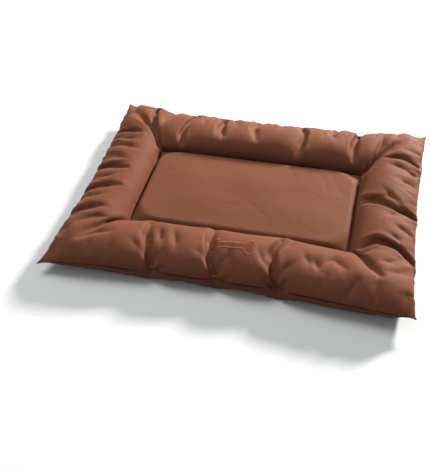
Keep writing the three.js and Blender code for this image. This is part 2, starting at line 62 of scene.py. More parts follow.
CREASES = [
    # front
    crease([(29.9, 0.8), (28.2, 6.0), (26.8, 10.5), (27.0, 14.0)], 18, notch=9),
    crease([(47.9, 0.8), (46.0, 5.5), (44.9, 11.0), (44.6, 16.5)], 18, notch=7),
    crease([(64.8, 0.5), (63.4, 5.0), (62.2, 9.5), (63.6, 14.5)], 19, notch=9),
    crease([(30.2, 12.5), (31.2, 9.6), (32.2, 7.6)], 9, radius=13, ends=(0.5, 0.4)),
    crease([(34.5, 12.0), (35.6, 8.8), (36.4, 6.6)], 6, radius=12, ends=(0.5, 0.4)),
    crease([(73.6, 9.4), (75.8, 6.6)], 6, radius=12, ends=(0.6, 0.4)),
    # left
    crease([(2.0, 55.0), (6.0, 54.2), (10.5, 52.8)], 17, notch=7, ends=(1, 0.4)),
    crease([(2.4, 47.2), (7.0, 46.4), (12.0, 44.6)], 9, notch=3, ends=(1, 0.3)),
    crease([(2.4, 37.0), (7.0, 36.6), (11.0, 35.8)], 16, notch=6, ends=(1, 0.4)),
    crease([(2.2, 31.5), (6.5, 31.4), (10.0, 32.5)], 8, notch=2, ends=(1, 0.3)),
    crease([(2.0, 26.6), (7.0, 27.6), (11.5, 28.0)], 15, notch=5, ends=(1, 0.4)),
    crease([(1.6, 16.0), (6.0, 17.4), (11.0, 18.6)], 11, notch=5, ends=(1, 0.4)),
    # back
    crease([(17.8, 68.5), (16.8, 63.5), (16.4, 59.0)], 16, notch=0, ends=(1, 0.4)),
    crease([(24.9, 67.8), (24.6, 62.0), (24.4, 57.5), (25.4, 54.0)], 21, ends=(1, 0.4)),
    crease([(35.6, 67.5), (36.2, 62.5), (37.6, 58.0)], 19, ends=(1, 0.4)),
    crease([(30.2, 67.6), (29.6, 64.2), (30.4, 61.0)], 8, radius=7, ends=(1, 0.3)),
    crease([(39.2, 67.4), (40.4, 64.4), (41.0, 61.5)], 7, radius=7, ends=(1, 0.3)),
    crease([(47.0, 67.5), (46.6, 63.0), (48.2, 58.0)], 11, ends=(1, 0.4)),
    crease([(54.4, 67.5), (55.6, 64.0)], 6, radius=7, ends=(1, 0.3)),
    crease([(61.5, 67.5), (62.8, 62.5), (62.0, 57.0), (60.8, 54.4)], 13, ends=(1, 0.4)),
    crease([(71.6, 67.5), (71.0, 63.8), (72.4, 60.5)], 8, radius=7, ends=(1, 0.3)),
    crease([(80.4, 69.0), (79.4, 64.5), (78.6, 60.0), (78.4, 55.0)], 20, ends=(1, 0.4)),
    # right
    crease([(97.6, 33.6), (93.5, 34.0), (89.0, 36.2), (84.5, 37.6)], 19, notch=9, ends=(1, 0.5)),
    crease([(91.0, 38.2), (87.5, 37.4), (84.0, 35.2)], 8, radius=8, ends=(0.6, 0.6)),
    crease([(97.6, 16.6), (93.5, 18.8), (89.0, 20.0), (85.5, 18.4)], 19, notch=8, ends=(1, 0.5)),
    crease([(94.0, 16.8), (89.5, 18.0), (86.0, 16.2)], 8, radius=8, ends=(0.6, 0.6)),
    crease([(97.6, 54.6), (93.0, 55.6), (87.5, 54.6)], 14, notch=3, ends=(0.8, 0.4)),
    crease([(97.2, 25.4), (93.0, 26.6)], 6, notch=3, ends=(1, 0.3)),
    crease([(97.6, 45.4), (93.0, 45.0)], 5, notch=2, ends=(1, 0.3)),
    # short folds that spread out from the pinches
    crease([(29.6, 2.0), (32.6, 5.2), (33.8, 8.0)], 5, radius=6.5, ends=(0.8, 0.3)),
    crease([(29.4, 3.0), (25.0, 6.4), (22.0, 8.0)], 5, radius=6.5, ends=(0.8, 0.2)),
    crease([(27.6, 8.0), (24.0, 11.5)], 4, radius=6, ends=(0.8, 0.2)),
    crease([(47.6, 2.4), (50.6, 5.6), (52.0, 8.6)], 5, radius=6.5, ends=(0.8, 0.3)),
    crease([(46.8, 4.0), (43.0, 6.4), (40.6, 7.2)], 5, radius=6.5, ends=(0.8, 0.2)),
    crease([(45.0, 10.5), (41.6, 13.6)], 4, radius=6, ends=(0.8, 0.2)),
    crease([(64.4, 2.2), (67.4, 6.0), (69.6, 8.0)], 6, radius=6.5, ends=(0.8, 0.3)),
    crease([(63.8, 4.0), (60.2, 6.6), (58.0, 10.0)], 6, radius=6.5, ends=(0.8, 0.2)),
    crease([(62.6, 8.6), (66.4, 12.6), (69.0, 14.2)], 5, radius=6.5, ends=(0.8, 0.2)),
    crease([(76.0, 8.6), (78.6, 10.6), (81.6, 8.4)], 5, radius=7, ends=(0.4, 0.3)),
    crease([(70.6, 10.4), (72.8, 8.0), (74.0, 9.6)], 5, radius=7, ends=(0.4, 0.3)),
    crease([(96.6, 33.4), (92.6, 30.6), (89.6, 29.8)], 6, radius=6.5, ends=(0.8, 0.2)),
    crease([(95.6, 34.2), (91.4, 38.6), (89.0, 41.6)], 6, radius=6.5, ends=(0.8, 0.2)),
    crease([(96.6, 17.4), (93.4, 22.2), (90.6, 24.0)], 6, radius=6.5, ends=(0.8, 0.2)),
    crease([(96.0, 16.4), (92.4, 13.6), (89.0, 13.0)], 6, radius=6.5, ends=(0.8, 0.2)),
    crease([(97.2, 50.0), (92.0, 51.4), (89.6, 50.4)], 7, radius=7, notch=2, ends=(1, 0.3)),
    crease([(2.6, 51.0), (7.4, 49.4), (11.6, 49.2)], 7, radius=7, notch=2, ends=(1, 0.3)),
    crease([(2.6, 42.0), (6.4, 41.2), (10.0, 39.4)], 7, radius=7, notch=2, ends=(1, 0.3)),
    crease([(2.4, 22.0), (6.8, 22.4), (10.0, 23.6)], 7, radius=7, notch=2, ends=(1, 0.3)),
    crease([(7.0, 12.0), (10.4, 14.8), (13.8, 15.4)], 6, radius=8, ends=(0.5, 0.3)),
    crease([(9.6, 7.0), (13.4, 9.4), (17.2, 9.6)], 5, radius=8, ends=(0.4, 0.3)),
    # corner folds, from the centre panel's corners
    crease([(17.6, 50.8), (13.0, 56.8), (9.2, 60.4), (5.4, 63.0)], 19, ends=(0.7, 0.5)),
    crease([(17.8, 51.4), (14.6, 57.0), (12.0, 62.2), (11.2, 66.2)], 20, ends=(0.7, 0.8)),
    crease([(82.2, 50.4), (84.6, 55.4), (86.6, 60.4), (87.4, 65.4)], 10, ends=(0.8, 0.4)),
    crease([(82.6, 50.0), (87.0, 56.4), (90.4, 60.2), (93.6, 63.2)], 11, ends=(0.8, 0.4)),
    crease([(82.4, 17.8), (86.0, 13.0), (89.5, 9.0)], 9, radius=11, ends=(0.8, 0.4)),
    crease([(17.6, 17.8), (13.6, 12.6), (10.0, 8.4)], 9, radius=11, ends=(0.8, 0.4)),
]


def puckers():
    """Short shallow folds that run in from the outer seam, closer together along the sides."""
    rng = np.random.default_rng(11)
    out = []
    for side, lo, hi, gap in (("left", 6, 64, 2.9), ("right", 8, 62, 3.4), ("front", 6, 95, 6.5), ("back", 6, 94, 4.2)):
        at = lo
        while at < hi:
            at += gap * rng.uniform(0.6, 1.4)
            deep = rng.uniform(4.0, 9.0) * (0.6 if side == "front" else 1)
            reach = rng.uniform(3.5, 8.5)
            lean = rng.uniform(-1.3, 1.3)
            if side == "left":
                p = [(2.2, at), (2.2 + reach, at + lean)]
            elif side == "right":
                p = [(97.6, at), (97.6 - reach, at + lean)]
            elif side == "front":
                p = [(at, 1.6), (at + lean, 1.6 + reach)]
            else:
                p = [(at, 67.8), (at + lean, 67.8 - reach)]
            out.append(crease(p, deep - 5, radius=7.5, notch=deep * 0.22 if side == "left" else 0, ends=(1, 0.1)))
    return out


FOLDS = list(CREASES)
CREASES += puckers()


def half(a):
    """Doubles an array along its last axis, with a point put in each gap."""
    n = a.shape[-1]
    out = np.empty(a.shape[:-1] + (2 * n - 1,), a.dtype)
    out[..., ::2] = a
    out[..., 1::2] = 0.5 * (a[..., :-1] + a[..., 1:])
    if n > 3:
        out[..., 3:-3:2] = (9 * (a[..., 1:-2] + a[..., 2:-1]) - a[..., :-3] - a[..., 3:]) / 16
    return out


def finer(P):
    return np.swapaxes(half(np.swapaxes(half(P), -1, -2)), -1, -2).copy()


class Grid:
    def __init__(self, nb, ncx, ncy):
        self.nb, self.ncx, self.ncy = nb, ncx, ncy
        span = lambda a, b, n: np.linspace(a, b, n + 1)
        self.xs = np.concatenate([span(-HX, -IX, nb), span(-IX, IX, ncx)[1:], span(IX, HX, nb)[1:]])
        self.ys = np.concatenate([span(-HY, -IY, nb), span(-IY, IY, ncy)[1:], span(IY, HY, nb)[1:]])
        self.nx, self.ny = len(self.xs), len(self.ys)
        self.X, self.Y = np.meshgrid(self.xs, self.ys)
        # v is 0 at the centre seam and 1 at the outer seam
        self.v = np.maximum((np.abs(self.X) - IX) / (HX - IX), (np.abs(self.Y) - IY) / (HY - IY))
        self.centre = self.v < -1e-6
        self.quilt = np.abs(self.v) < 1e-6
        self.seam = self.v > 1 - 1e-6
        self.zip = (self.Y > HY - 1e-6) & (np.abs(self.X) <= IX + 1e-6)
        self.lengths()

    def lengths(self):
        nb, nx, ny = self.nb, self.nx, self.ny
        dx = np.zeros((2, ny, nx - 1)); dy = np.zeros((2, ny - 1, nx))
        ix = np.arange(nx - 1); iy = np.arange(ny - 1)
        for s, w in ((0, WT), (1, WB)):
            dx[s] = np.where((ix < nb) | (ix >= nx - 1 - nb), w[0] / nb, np.diff(self.xs))[None, :]
            dy[s] = np.where((iy < nb) | (iy >= ny - 1 - nb), w[1] / nb, np.diff(self.ys))[:, None]
        # the centre panel's cloth turns down to its seam, so it has some spare width there
        k = max(1, nb // 9)
        ease = lambda e: np.clip(e / 70, 0, 1) ** 2 * (3 - 2 * np.clip(e / 70, 0, 1))
        for s, extra in ((0, 11.0), (1, 9.0)):
            along_y = ease(IY - np.abs(self.ys))[:, None] * extra / k
            along_x = ease(IX - np.abs(self.xs))[None, :] * extra / k
            for c in (slice(nb, nb + k), slice(nx - 1 - nb - k, nx - 1 - nb)):
                dx[s][:, c] += along_y * (np.abs(self.ys)[:, None] < IY)
            for r in (slice(nb, nb + k), slice(ny - 1 - nb - k, ny - 1 - nb)):
                dy[s][r, :] += along_x * (np.abs(self.xs)[None, :] < IX)
        # the outer seam is gathered: its own line is shorter than the cloth beside it
        for r, f in ((0, SEAM_FRONT), (-1, SEAM_BACK)):
            dx[:, r] = dx[0, r] * f
        for c, f in ((0, SEAM_LEFT), (-1, SEAM_RIGHT)):
            dy[:, :, c] = dy[0, :, c] * f
        self.dx, self.dy = dx.astype(F), dy.astype(F)
        ax = 0.5 * (dx[:, :-1] + dx[:, 1:]); ay = 0.5 * (dy[:, :, :-1] + dy[:, :, 1:])
        self.dd = np.sqrt(ax ** 2 + ay ** 2).astype(F)
        self.dx2 = (dx[:, :, :-1] + dx[:, :, 1:]).astype(F)
        self.dy2 = (dy[:, :-1] + dy[:, 1:]).astype(F)

    def crown(self):
        """Height of the unfolded top over the border."""
        v = np.clip(self.v, 0, 1)
        line = QUILT_TOP + (40 - QUILT_TOP) * v
        corner = np.minimum(np.abs(self.X) / HX, np.abs(self.Y) / HY)
        top = 97 - 9 * np.clip((corner - 0.5) / 0.5, 0, 1)
        return line + (top - 36) * np.sin(np.pi * v) ** 0.62

    def start(self):
        P = np.zeros((3, 2, self.ny, self.nx))
        P[0] = self.X; P[1] = self.Y
        v = np.clip(self.v, 0, 1)
        P[2, 0] = np.where(self.v < 0, 48, self.crown() * 0.92)
        P[2, 1] = np.where(self.v < 0, 3, np.where(v > 0.8, 38 * (v - 0.8) / 0.2, np.where(v < 0.15, 27 * (0.15 - v) / 0.15, 0.5)))
        # the edge pulls in between the corner tips
        for (k, sx, sy) in (("FL", -1, -1), ("FR", 1, -1), ("BR", 1, 1), ("BL", -1, 1)):
            t = np.array(TIPS[k]) - np.array([sx * HX, sy * HY, 38])
            w = (np.clip(sx * self.X / HX, 0, 1) ** 3) * (np.clip(sy * self.Y / HY, 0, 1) ** 3)
            for s in (0, 1):
                for c in range(3):
                    P[c, s] += w * t[c]
        fx = np.clip(np.abs(self.X) / HX, 0, 1); fy = np.clip(np.abs(self.Y) / HY, 0, 1)
        bow = np.clip(self.v, 0, 1)
        P[1] -= np.sign(self.Y) * 18 * bow * (1 - fx ** 2.5) * (fy > fx * 0 + 0.4)
        P[0] -= np.sign(self.X) * 18 * bow * (1 - fy ** 2.5) * (fx > 0.6)
        return P

    def pins(self):
        w = np.ones((2, self.ny, self.nx)); T = np.zeros((3, 2, self.ny, self.nx))
        q = self.quilt
        for s, z in ((0, QUILT_TOP), (1, QUILT_LOW)):
            w[s][q] = 0
            T[0, s][q] = self.X[q]; T[1, s][q] = self.Y[q]; T[2, s][q] = z
            m = self.zip
            w[s][m] = 0
            T[0, s][m] = self.X[m] * ZIP_DRAW; T[1, s][m] = ZIP_Y; T[2, s][m] = ZIP_TOP if s == 0 else ZIP_LOW
        for k, (r, c) in {"FL": (0, 0), "FR": (0, -1), "BR": (-1, -1), "BL": (-1, 0)}.items():
            w[:, r, c] = 0
            for s in (0, 1):
                T[:, s, r, c] = TIPS[k]
        return w.astype(F), T.astype(F)

    def filling(self):
        """How hard the filling pushes; little of it reaches the corner tips."""
        d = np.hypot(HX - np.abs(self.X), HY - np.abs(self.Y))
        t = np.clip((d - 22) / 200, 0, 1)
        return 0.02 + 0.98 * t * t * (3 - 2 * t)

    def centre_cap(self):
        """The centre's filling is a flat pad, so its cloth rises no higher than this."""
        ease = lambda e: np.clip(e, 0, 1) ** 2 * (3 - 2 * np.clip(e, 0, 1))
        t = ease((IX - np.abs(self.X)) / 150) * ease((IY - np.abs(self.Y)) / 130)
        wave = 0.9 * np.sin(self.X / 61 + 1.1) * np.sin(self.Y / 47 + 0.4) + 0.6 * np.sin(self.X / 33 + self.Y / 41)
        return np.where(self.v < 0, 52 + 6 * t + wave * t, 1e6)

    def folds(self, amount=1.0):
        """Greatest height of the top at each grid point, and inward notches of the outer seam."""
        lim = np.full((self.ny, self.nx), 1e6)
        notch = np.zeros((self.ny, self.nx))
        crown = self.crown()
        grid = max(np.diff(self.xs).max(), np.diff(self.ys).max())
        for c in CREASES:
            p = c["p"]
            seg = np.diff(p, axis=0); L = np.hypot(*seg.T); S = np.concatenate([[0], np.cumsum(L)])
            best = np.full(self.X.shape, 1e9); at = np.zeros(self.X.shape)
            for i in range(len(seg)):
                t = ((self.X - p[i, 0]) * seg[i, 0] + (self.Y - p[i, 1]) * seg[i, 1]) / L[i] ** 2
                t = np.clip(t, 0, 1)
                d = np.hypot(self.X - p[i, 0] - t * seg[i, 0], self.Y - p[i, 1] - t * seg[i, 1])
                m = d < best
                best[m] = d[m]; at[m] = (S[i] + t[m] * L[i]) / S[-1]
            e0, e1 = c["ends"]
            along = np.minimum(1, np.minimum(e0 + (1 - e0) * at / 0.35, e1 + (1 - e1) * (1 - at) / 0.35))
            r = max(c["r"], 0.8 * grid)
            w = np.clip(1 - (best / r) ** 2, 0, 1) * along
            z = crown - amount * (c["depth"] + 5) * w
            lim = np.where(w > 0.02, np.minimum(lim, z), lim)
            notch = np.maximum(notch, amount * c["notch"] * np.clip(1 - (best / (1.4 * r)) ** 2, 0, 1) * along * self.seam)
        return lim.astype(F), notch.astype(F)


def relax(g, P, steps, push, bend, shear, folds, seed, centre_push=0.55, damp=0.05, wrinkle=0.0, seam_stiff=0.1):
    P = P.astype(F).copy()
    w, T = g.pins()
    fixed = w == 0
    P[:, fixed] = T[:, fixed]
    V = np.zeros_like(P)
    lim, notch = g.folds(folds)
    rng = np.random.default_rng(seed)
    if wrinkle:
        n = rng.standard_normal((g.ny, g.nx)).astype(F)
        for _ in range(2):
            n[1:-1, 1:-1] = (n[1:-1, 1:-1] * 4 + n[:-2, 1:-1] + n[2:, 1:-1] + n[1:-1, :-2] + n[1:-1, 2:]) / 8
        P[2, 0] += wrinkle * n * w[0] * (g.v > 0)
    press = np.where(g.v > 0, g.filling(), centre_push).astype(F)
    press[g.quilt] = 0
    cap = g.centre_cap().astype(F)

    def batch(sa, sb, rest, k, mode):
        wa, wb = w[sa[1:]], w[sb[1:]]
        t = wa + wb
        t[t == 0] = 1
        return (sa, sb, np.ascontiguousarray(rest.astype(F)), (wa / t * F(k)).astype(F), (wb / t * F(k)).astype(F), mode)

    A = slice(None)
    B = []
    ny, nx = g.ny, g.nx

    def cut(lo, n, off, step):
        # start indices lo, lo+step, ... with start + off <= n - 1
        count = max(0, (n - 1 - off - lo) // step + 1)
        return slice(lo, lo + (count - 1) * step + 1, step), slice(lo + off, lo + off + (count - 1) * step + 1, step)
    for par in (0, 1):
        a, b = cut(par, nx, 1, 2)
        B.append(batch((A, A, A, a), (A, A, A, b), g.dx[:, :, a], 1.0, 0))
        a, b = cut(par, ny, 1, 2)
        B.append(batch((A, A, a, A), (A, A, b, A), g.dy[:, a, :], 1.0, 0))
    for par in (0, 1):
        a, b = cut(par, nx, 1, 2)
        r0, r1 = slice(0, ny - 1), slice(1, ny)
        B.append(batch((A, A, r0, a), (A, A, r1, b), g.dd[:, :, a], shear, 1))
        B.append(batch((A, A, r1, a), (A, A, r0, b), g.dd[:, :, a], shear, 1))
    bends = []
    for par in (0, 1, 2, 3):
        a, b = cut(par, nx, 2, 4)
        bends.append(batch((A, A, A, a), (A, A, A, b), g.dx2[:, :, a], bend, 2))
        a, b = cut(par, ny, 2, 4)
        bends.append(batch((A, A, a, A), (A, A, b, A), g.dy2[:, a, :], bend, 2))

    def project(items):
        for sa, sb, rest, ka, kb, mode in items:
            a = P[sa]; b = P[sb]
            d = b - a
            L = np.sqrt(d[0] * d[0] + d[1] * d[1] + d[2] * d[2]) + F(1e-6)
            c = F(1) - rest / L
            if mode == 2:
                c = np.minimum(c, 0)      # bending only pushes apart
            d *= c
            P[sa] = a + d * ka
            P[sb] = b - d * kb

    seam_w = g.seam & ~g.zip
    br, bc = np.nonzero(seam_w)
    # outward direction of the seam
    inx = np.zeros((g.ny, g.nx)); iny = np.zeros((g.ny, g.nx))
    iny[0] = -1; iny[-1] = 1; inx[:, 0] = -1; inx[:, -1] = 1
    edge0 = None
    for it in range(steps):
        ramp = min(1.0, (it + 1) / 60.0)
        # area-weighted normals of both sheets
        gx = np.empty_like(P); gy = np.empty_like(P)
        gx[..., 1:-1] = P[..., 2:] - P[..., :-2]; gx[..., 0] = P[..., 1] - P[..., 0]; gx[..., -1] = P[..., -1] - P[..., -2]
        gy[..., 1:-1, :] = P[..., 2:, :] - P[..., :-2, :]; gy[..., 0, :] = P[..., 1, :] - P[..., 0, :]; gy[..., -1, :] = P[..., -1, :] - P[..., -2, :]
        n = np.empty_like(P)
        n[0] = gx[1] * gy[2] - gx[2] * gy[1]
        n[1] = gx[2] * gy[0] - gx[0] * gy[2]
        n[2] = gx[0] * gy[1] - gx[1] * gy[0]
        n /= (np.sqrt(n[0] ** 2 + n[1] ** 2 + n[2] ** 2) + F(1e-6))
        n[:, 1] *= -1
        V *= F(1 - damp)
        V += n * press * F(push * ramp)
        V[2] -= F(0.02 * push)
        V *= w
        old = P.copy()
        P += V
        project(B)
        if bend:
            project(bends)
        # the outer seam joins both sheets
        m = 0.5 * (P[:, 0, br, bc] + P[:, 1, br, bc])
        P[:, 0, br, bc] = m; P[:, 1, br, bc] = m
        # the seam's layers make its line stiff
        for s in (0, 1):
            for line in (P[:, s, 0, :], P[:, s, -1, :], P[:, s, :, 0], P[:, s, :, -1]):
                line[:, 2:-2] += F(seam_stiff) * (0.5 * (line[:, 1:-3] + line[:, 3:-1]) * F(1.3333) - F(0.16667) * (line[:, :-4] + line[:, 4:]) - line[:, 2:-2])
        # floor
        np.maximum(P[2, 1], 0.3, out=P[2, 1])
        np.maximum(P[2, 0], 2.0, out=P[2, 0])
        np.minimum(P[2, 0], cap, out=P[2, 0])
        if folds:
            over = P[2, 0] > lim
            z = P[2, 0]
            z[over] -= (z[over] - lim[over]) * F(0.25)
            if edge0 is None:
                edge0 = (P[0, 0].copy(), P[1, 0].copy())
            if notch.any():
                nm = notch > 0
                lx = edge0[0] - inx * notch; ly = edge0[1] - iny * notch
                for s in (0, 1):
                    ex = (P[0, s] - lx) * inx; ey = (P[1, s] - ly) * iny
                    mx = nm & (ex > 0) & (inx != 0); my = nm & (ey > 0) & (iny != 0)
                    P[0, s][mx] -= (0.25 * ex * inx)[mx]; P[1, s][my] -= (0.25 * ey * iny)[my]
        P[:, fixed] = T[:, fixed]
        V = P - old
        sp = np.sqrt(V[0] ** 2 + V[1] ** 2 + V[2] ** 2)
        mx = sp.max()
        if mx > 3.0:
            V *= np.minimum(1, 3.0 / (sp + 1e-6))
    return P, float(sp.mean()), float(sp.max())


def simulate(log=print):
    import time
    t = time.time()
    g = Grid(9, 24, 12)
    P, a, b = relax(g, g.start(), 400, 0.20, 0.0, 0.5, 0.0, 1, wrinkle=1.5)
    log("coarse", round(time.time() - t, 1), a, b, P[2, 0].max())
    g = Grid(18, 48, 24)
    P, a, b = relax(g, finer(P), 500, 0.06, 0.04, 0.4, 1.0, 2, wrinkle=1.5)
    log("middle", round(time.time() - t, 1), a, b, P[2, 0].max())
    g = Grid(36, 96, 48)
    P, a, b = relax(g, finer(P), 600, 0.020, 0.04, 0.4, 1.0, 3, wrinkle=1.0)
    log("fine", round(time.time() - t, 1), a, b, P[2, 0].max())
    g = Grid(72, 192, 96)
    P, a, b = relax(g, finer(P), 400, 0.006, 0.03, 0.4, 1.0, 4, wrinkle=0.5)
    log("finest", round(time.time() - t, 1), a, b, P[2, 0].max())
    return g, P
# ------------------------------------------------------------ camera and light
scene = bpy.context.scene



def aim(ob, at):
    ob.rotation_euler = (Vector(at) - ob.location).to_track_quat("-Z", "Y").to_euler()


cam_data = bpy.data.cameras.new("camera")
cam = bpy.data.objects.new("camera", cam_data)
scene.collection.objects.link(cam)
right = Vector((0.9675, 0.2465, -0.0558)).normalized()
ahead = Vector((-0.2079, 0.6510, -0.7301)).normalized()
up = right.cross(ahead)
cam.matrix_world = Matrix((
    (right.x, up.x, -ahead.x, 0.32607),
    (right.y, up.y, -ahead.y, -1.35984),
    (right.z, up.z, -ahead.z, 1.37191),
    (0, 0, 0, 1)))
cam_data.sensor_width = 36
cam_data.sensor_fit = "AUTO"
cam_data.lens = 50.49
cam_data.clip_end = 50
scene.camera = cam


def lamp(name, at, target, size, power, colour=(1, 1, 1)):
    d = bpy.data.lights.new(name, "AREA")
    d.shape = "DISK"; d.size = size; d.energy = power; d.color = colour
    o = bpy.data.objects.new(name, d)
    scene.collection.objects.link(o)
    o.location = at
    aim(o, target)
    return o


lamp("key", (2.60, 4.71, 2.40), (0, 0, 0.03), 0.95, 1200, (1.0, 0.985, 0.96))
lamp("fill", (-1.5, 1.2, 3.6), (0, 0, 0.05), 2.4, 125, (1.0, 0.99, 0.98))
world = bpy.data.worlds.new("studio")
world.use_nodes = True
world.node_tree.nodes["Background"].inputs[0].default_value = (0.97, 0.985, 1.0, 1)
world.node_tree.nodes["Background"].inputs[1].default_value = 0.47
scene.world = world
scene.view_settings.view_transform = "Standard"

bpy.ops.mesh.primitive_plane_add(size=30, location=(0, 0, 0))
floor = bpy.context.object
floor.name = "floor"
fm = bpy.data.materials.new("floor")
fm.use_nodes = True
b = fm.node_tree.nodes["Principled BSDF"]
b.inputs["Base Color"].default_value = (0.50, 0.51, 0.51, 1)
b.inputs["Roughness"].default_value = 0.7
floor.data.materials.append(fm)
# ------------------------------------------------------------------ materials
def nodes_of(name):
    m = bpy.data.materials.new(name)
    m.use_nodes = True
    nt = m.node_tree
    return m, nt, nt.nodes["Principled BSDF"]


def math_node(nt, op, a, b=None, clamp=False):
    n = nt.nodes.new("ShaderNodeMath")
    n.operation = op
    n.use_clamp = clamp
    for i, v in enumerate((a, b)):
        if v is None:
            continue
        if isinstance(v, (int, float)):
            n.inputs[i].default_value = v
        else:
            nt.links.new(v, n.inputs[i])
    return n.outputs[0]


def woven(name, colour, rough, period, depth, sheen, vary=0.10, specular=0.5, cloud=7.0, crumple=0.0):
    """Woven cloth: threads over and under from the flat cloth's own coordinates, with uneven dye and painted shade
    between the threads.
    """
    m, nt, b = nodes_of(name)
    new, link = nt.nodes.new, nt.links.new
    uv = new("ShaderNodeUVMap"); uv.uv_map = "cloth"
    sep = new("ShaderNodeSeparateXYZ"); link(uv.outputs[0], sep.inputs[0])
    k = 2 * math.pi / period
    su = math_node(nt, "SINE", math_node(nt, "MULTIPLY", sep.outputs[0], k))
    sv = math_node(nt, "SINE", math_node(nt, "MULTIPLY", sep.outputs[1], k))
    weave = math_node(nt, "MULTIPLY", su, sv)
    coarse = new("ShaderNodeTexNoise"); coarse.inputs["Scale"].default_value = cloud; coarse.inputs["Detail"].default_value = 3
    link(uv.outputs[0], coarse.inputs["Vector"])
    slub = new("ShaderNodeTexNoise"); slub.inputs["Scale"].default_value = 260; slub.inputs["Detail"].default_value = 2
    stretch = new("ShaderNodeMapping"); stretch.inputs["Scale"].default_value = (1, 0.08, 1)
    link(uv.outputs[0], stretch.inputs[0]); link(stretch.outputs[0], slub.inputs["Vector"])
    # colour: uneven dye from the clouds and slub streaks, plus painted shade and light from the weave's own height,
    # darker in the hollows between threads and lighter on their crowns
    dye_and_weave_shade = math_node(nt, "ADD", math_node(nt, "MULTIPLY", coarse.outputs[0], vary),
                     math_node(nt, "ADD", math_node(nt, "MULTIPLY", slub.outputs[0], vary * 0.8),
                               math_node(nt, "MULTIPLY", weave, vary * 0.35)))
    level = math_node(nt, "ADD", dye_and_weave_shade, 1.0 - vary * 0.9)
    mix = new("ShaderNodeMix"); mix.data_type = "RGBA"; mix.blend_type = "MULTIPLY"
    mix.inputs["Factor"].default_value = 1.0
    mix.inputs["A"].default_value = (*colour, 1)
    grey = new("ShaderNodeCombineColor")
    for i in range(3):
        link(level, grey.inputs[i])
    link(grey.outputs[0], mix.inputs["B"])
    link(mix.outputs["Result"], b.inputs["Base Color"])
    bump = new("ShaderNodeBump"); bump.inputs["Strength"].default_value = depth; bump.inputs["Distance"].default_value = 0.0004
    height = math_node(nt, "ADD", weave, math_node(nt, "MULTIPLY", slub.outputs[0], 1.2))
    link(height, bump.inputs["Height"])
    if crumple:
        soft = new("ShaderNodeTexNoise"); soft.inputs["Scale"].default_value = 45; soft.inputs["Detail"].default_value = 4
        soft.inputs["Distortion"].default_value = 0.8
        link(uv.outputs[0], soft.inputs["Vector"])
        b2 = new("ShaderNodeBump"); b2.inputs["Strength"].default_value = 1.0; b2.inputs["Distance"].default_value = crumple
        link(soft.outputs[0], b2.inputs["Height"]); link(bump.outputs[0], b2.inputs["Normal"])
        bump = b2
    link(bump.outputs[0], b.inputs["Normal"])
    b.inputs["Roughness"].default_value = rough
    b.inputs["Specular IOR Level"].default_value = specular
    b.inputs["Sheen Weight"].default_value = sheen
    b.inputs["Sheen Roughness"].default_value = 0.4
    b.inputs["Sheen Tint"].default_value = (1.0, 0.46, 0.30, 1)
    b.inputs["Specular Tint"].default_value = (1.0, 0.68, 0.55, 1)
    return m


COVER = (0.108, 0.0385, 0.0212)
cover_mat = woven("cover_fabric", COVER, 0.58, 0.0011, 0.25, 0.08, specular=0.05, crumple=0.0007)
base_mat = woven("base_fabric", (0.100, 0.039, 0.0235), 0.60, 0.0013, 0.35, 0.0, specular=0.04, crumple=0.0006)
tape_mat = woven("zip_tape_cloth", (0.055, 0.026, 0.018), 0.7, 0.0012, 0.5, 0.1)
label_mat = woven("label_satin", (0.40, 0.37, 0.33), 0.45, 0.0006, 0.2, 0.0)


def plain(name, colour, rough, metallic=0.0, noise=0.0, scale=300.0, bump=0.0, sheen=0.0, specular=0.5):
    m, nt, b = nodes_of(name)
    new, link = nt.nodes.new, nt.links.new
    b.inputs["Base Color"].default_value = (*colour, 1)
    b.inputs["Metallic"].default_value = metallic
    b.inputs["Roughness"].default_value = rough
    b.inputs["Specular IOR Level"].default_value = specular
    b.inputs["Sheen Weight"].default_value = sheen
    if noise or bump:
        tc = new("ShaderNodeTexCoord")
        n = new("ShaderNodeTexNoise"); n.inputs["Scale"].default_value = scale; n.inputs["Detail"].default_value = 4
        link(tc.outputs["Object"], n.inputs["Vector"])
        ramp = new("ShaderNodeMix"); ramp.data_type = "RGBA"
        ramp.inputs["A"].default_value = (*[c * (1 - noise) for c in colour], 1)
        ramp.inputs["B"].default_value = (*[min(1, c * (1 + noise)) for c in colour], 1)
        link(n.outputs[0], ramp.inputs["Factor"])
        link(ramp.outputs["Result"], b.inputs["Base Color"])
        if bump:
            bp = new("ShaderNodeBump"); bp.inputs["Strength"].default_value = bump; bp.inputs["Distance"].default_value = 0.0003
            link(n.outputs[0], bp.inputs["Height"]); link(bp.outputs[0], b.inputs["Normal"])
    return m


thread_mat = plain("sewing_thread", (0.060, 0.022, 0.013), 0.55, noise=0.25, scale=1500, bump=0.3, specular=0.15)
copper_mat = plain("embroidery_thread", (0.24, 0.072, 0.030), 0.45, noise=0.2, scale=1200, bump=0.25, specular=0.15)
nylon_mat = plain("zip_coil_nylon", (0.045, 0.021, 0.015), 0.35, noise=0.1, scale=800, bump=0.1)
metal_mat = plain("zip_metal", (0.32, 0.27, 0.22), 0.32, metallic=1.0, noise=0.15, scale=500, bump=0.15)
rubber_mat = plain("pull_rubber", (0.03, 0.016, 0.012), 0.55, noise=0.15, scale=900, bump=0.2)
fill_mat = plain("polyester_fill", (0.82, 0.8, 0.76), 0.95, noise=0.06, scale=90, bump=0.8, sheen=0.4)

# ---------------------------------------------------------------- cloth meshes
grid, cloth = simulate(log=lambda *a: None)
cloth = cloth.astype(float)
NY, NX = grid.ny, grid.nx
NB = grid.nb


def normals_of(P, s):
    gx = np.gradient(P, axis=2); gy = np.gradient(P, axis=1)
    n = np.cross(gx, gy, axis=0)
    n /= np.linalg.norm(n, axis=0) + 1e-9
    return n if s == 0 else -n


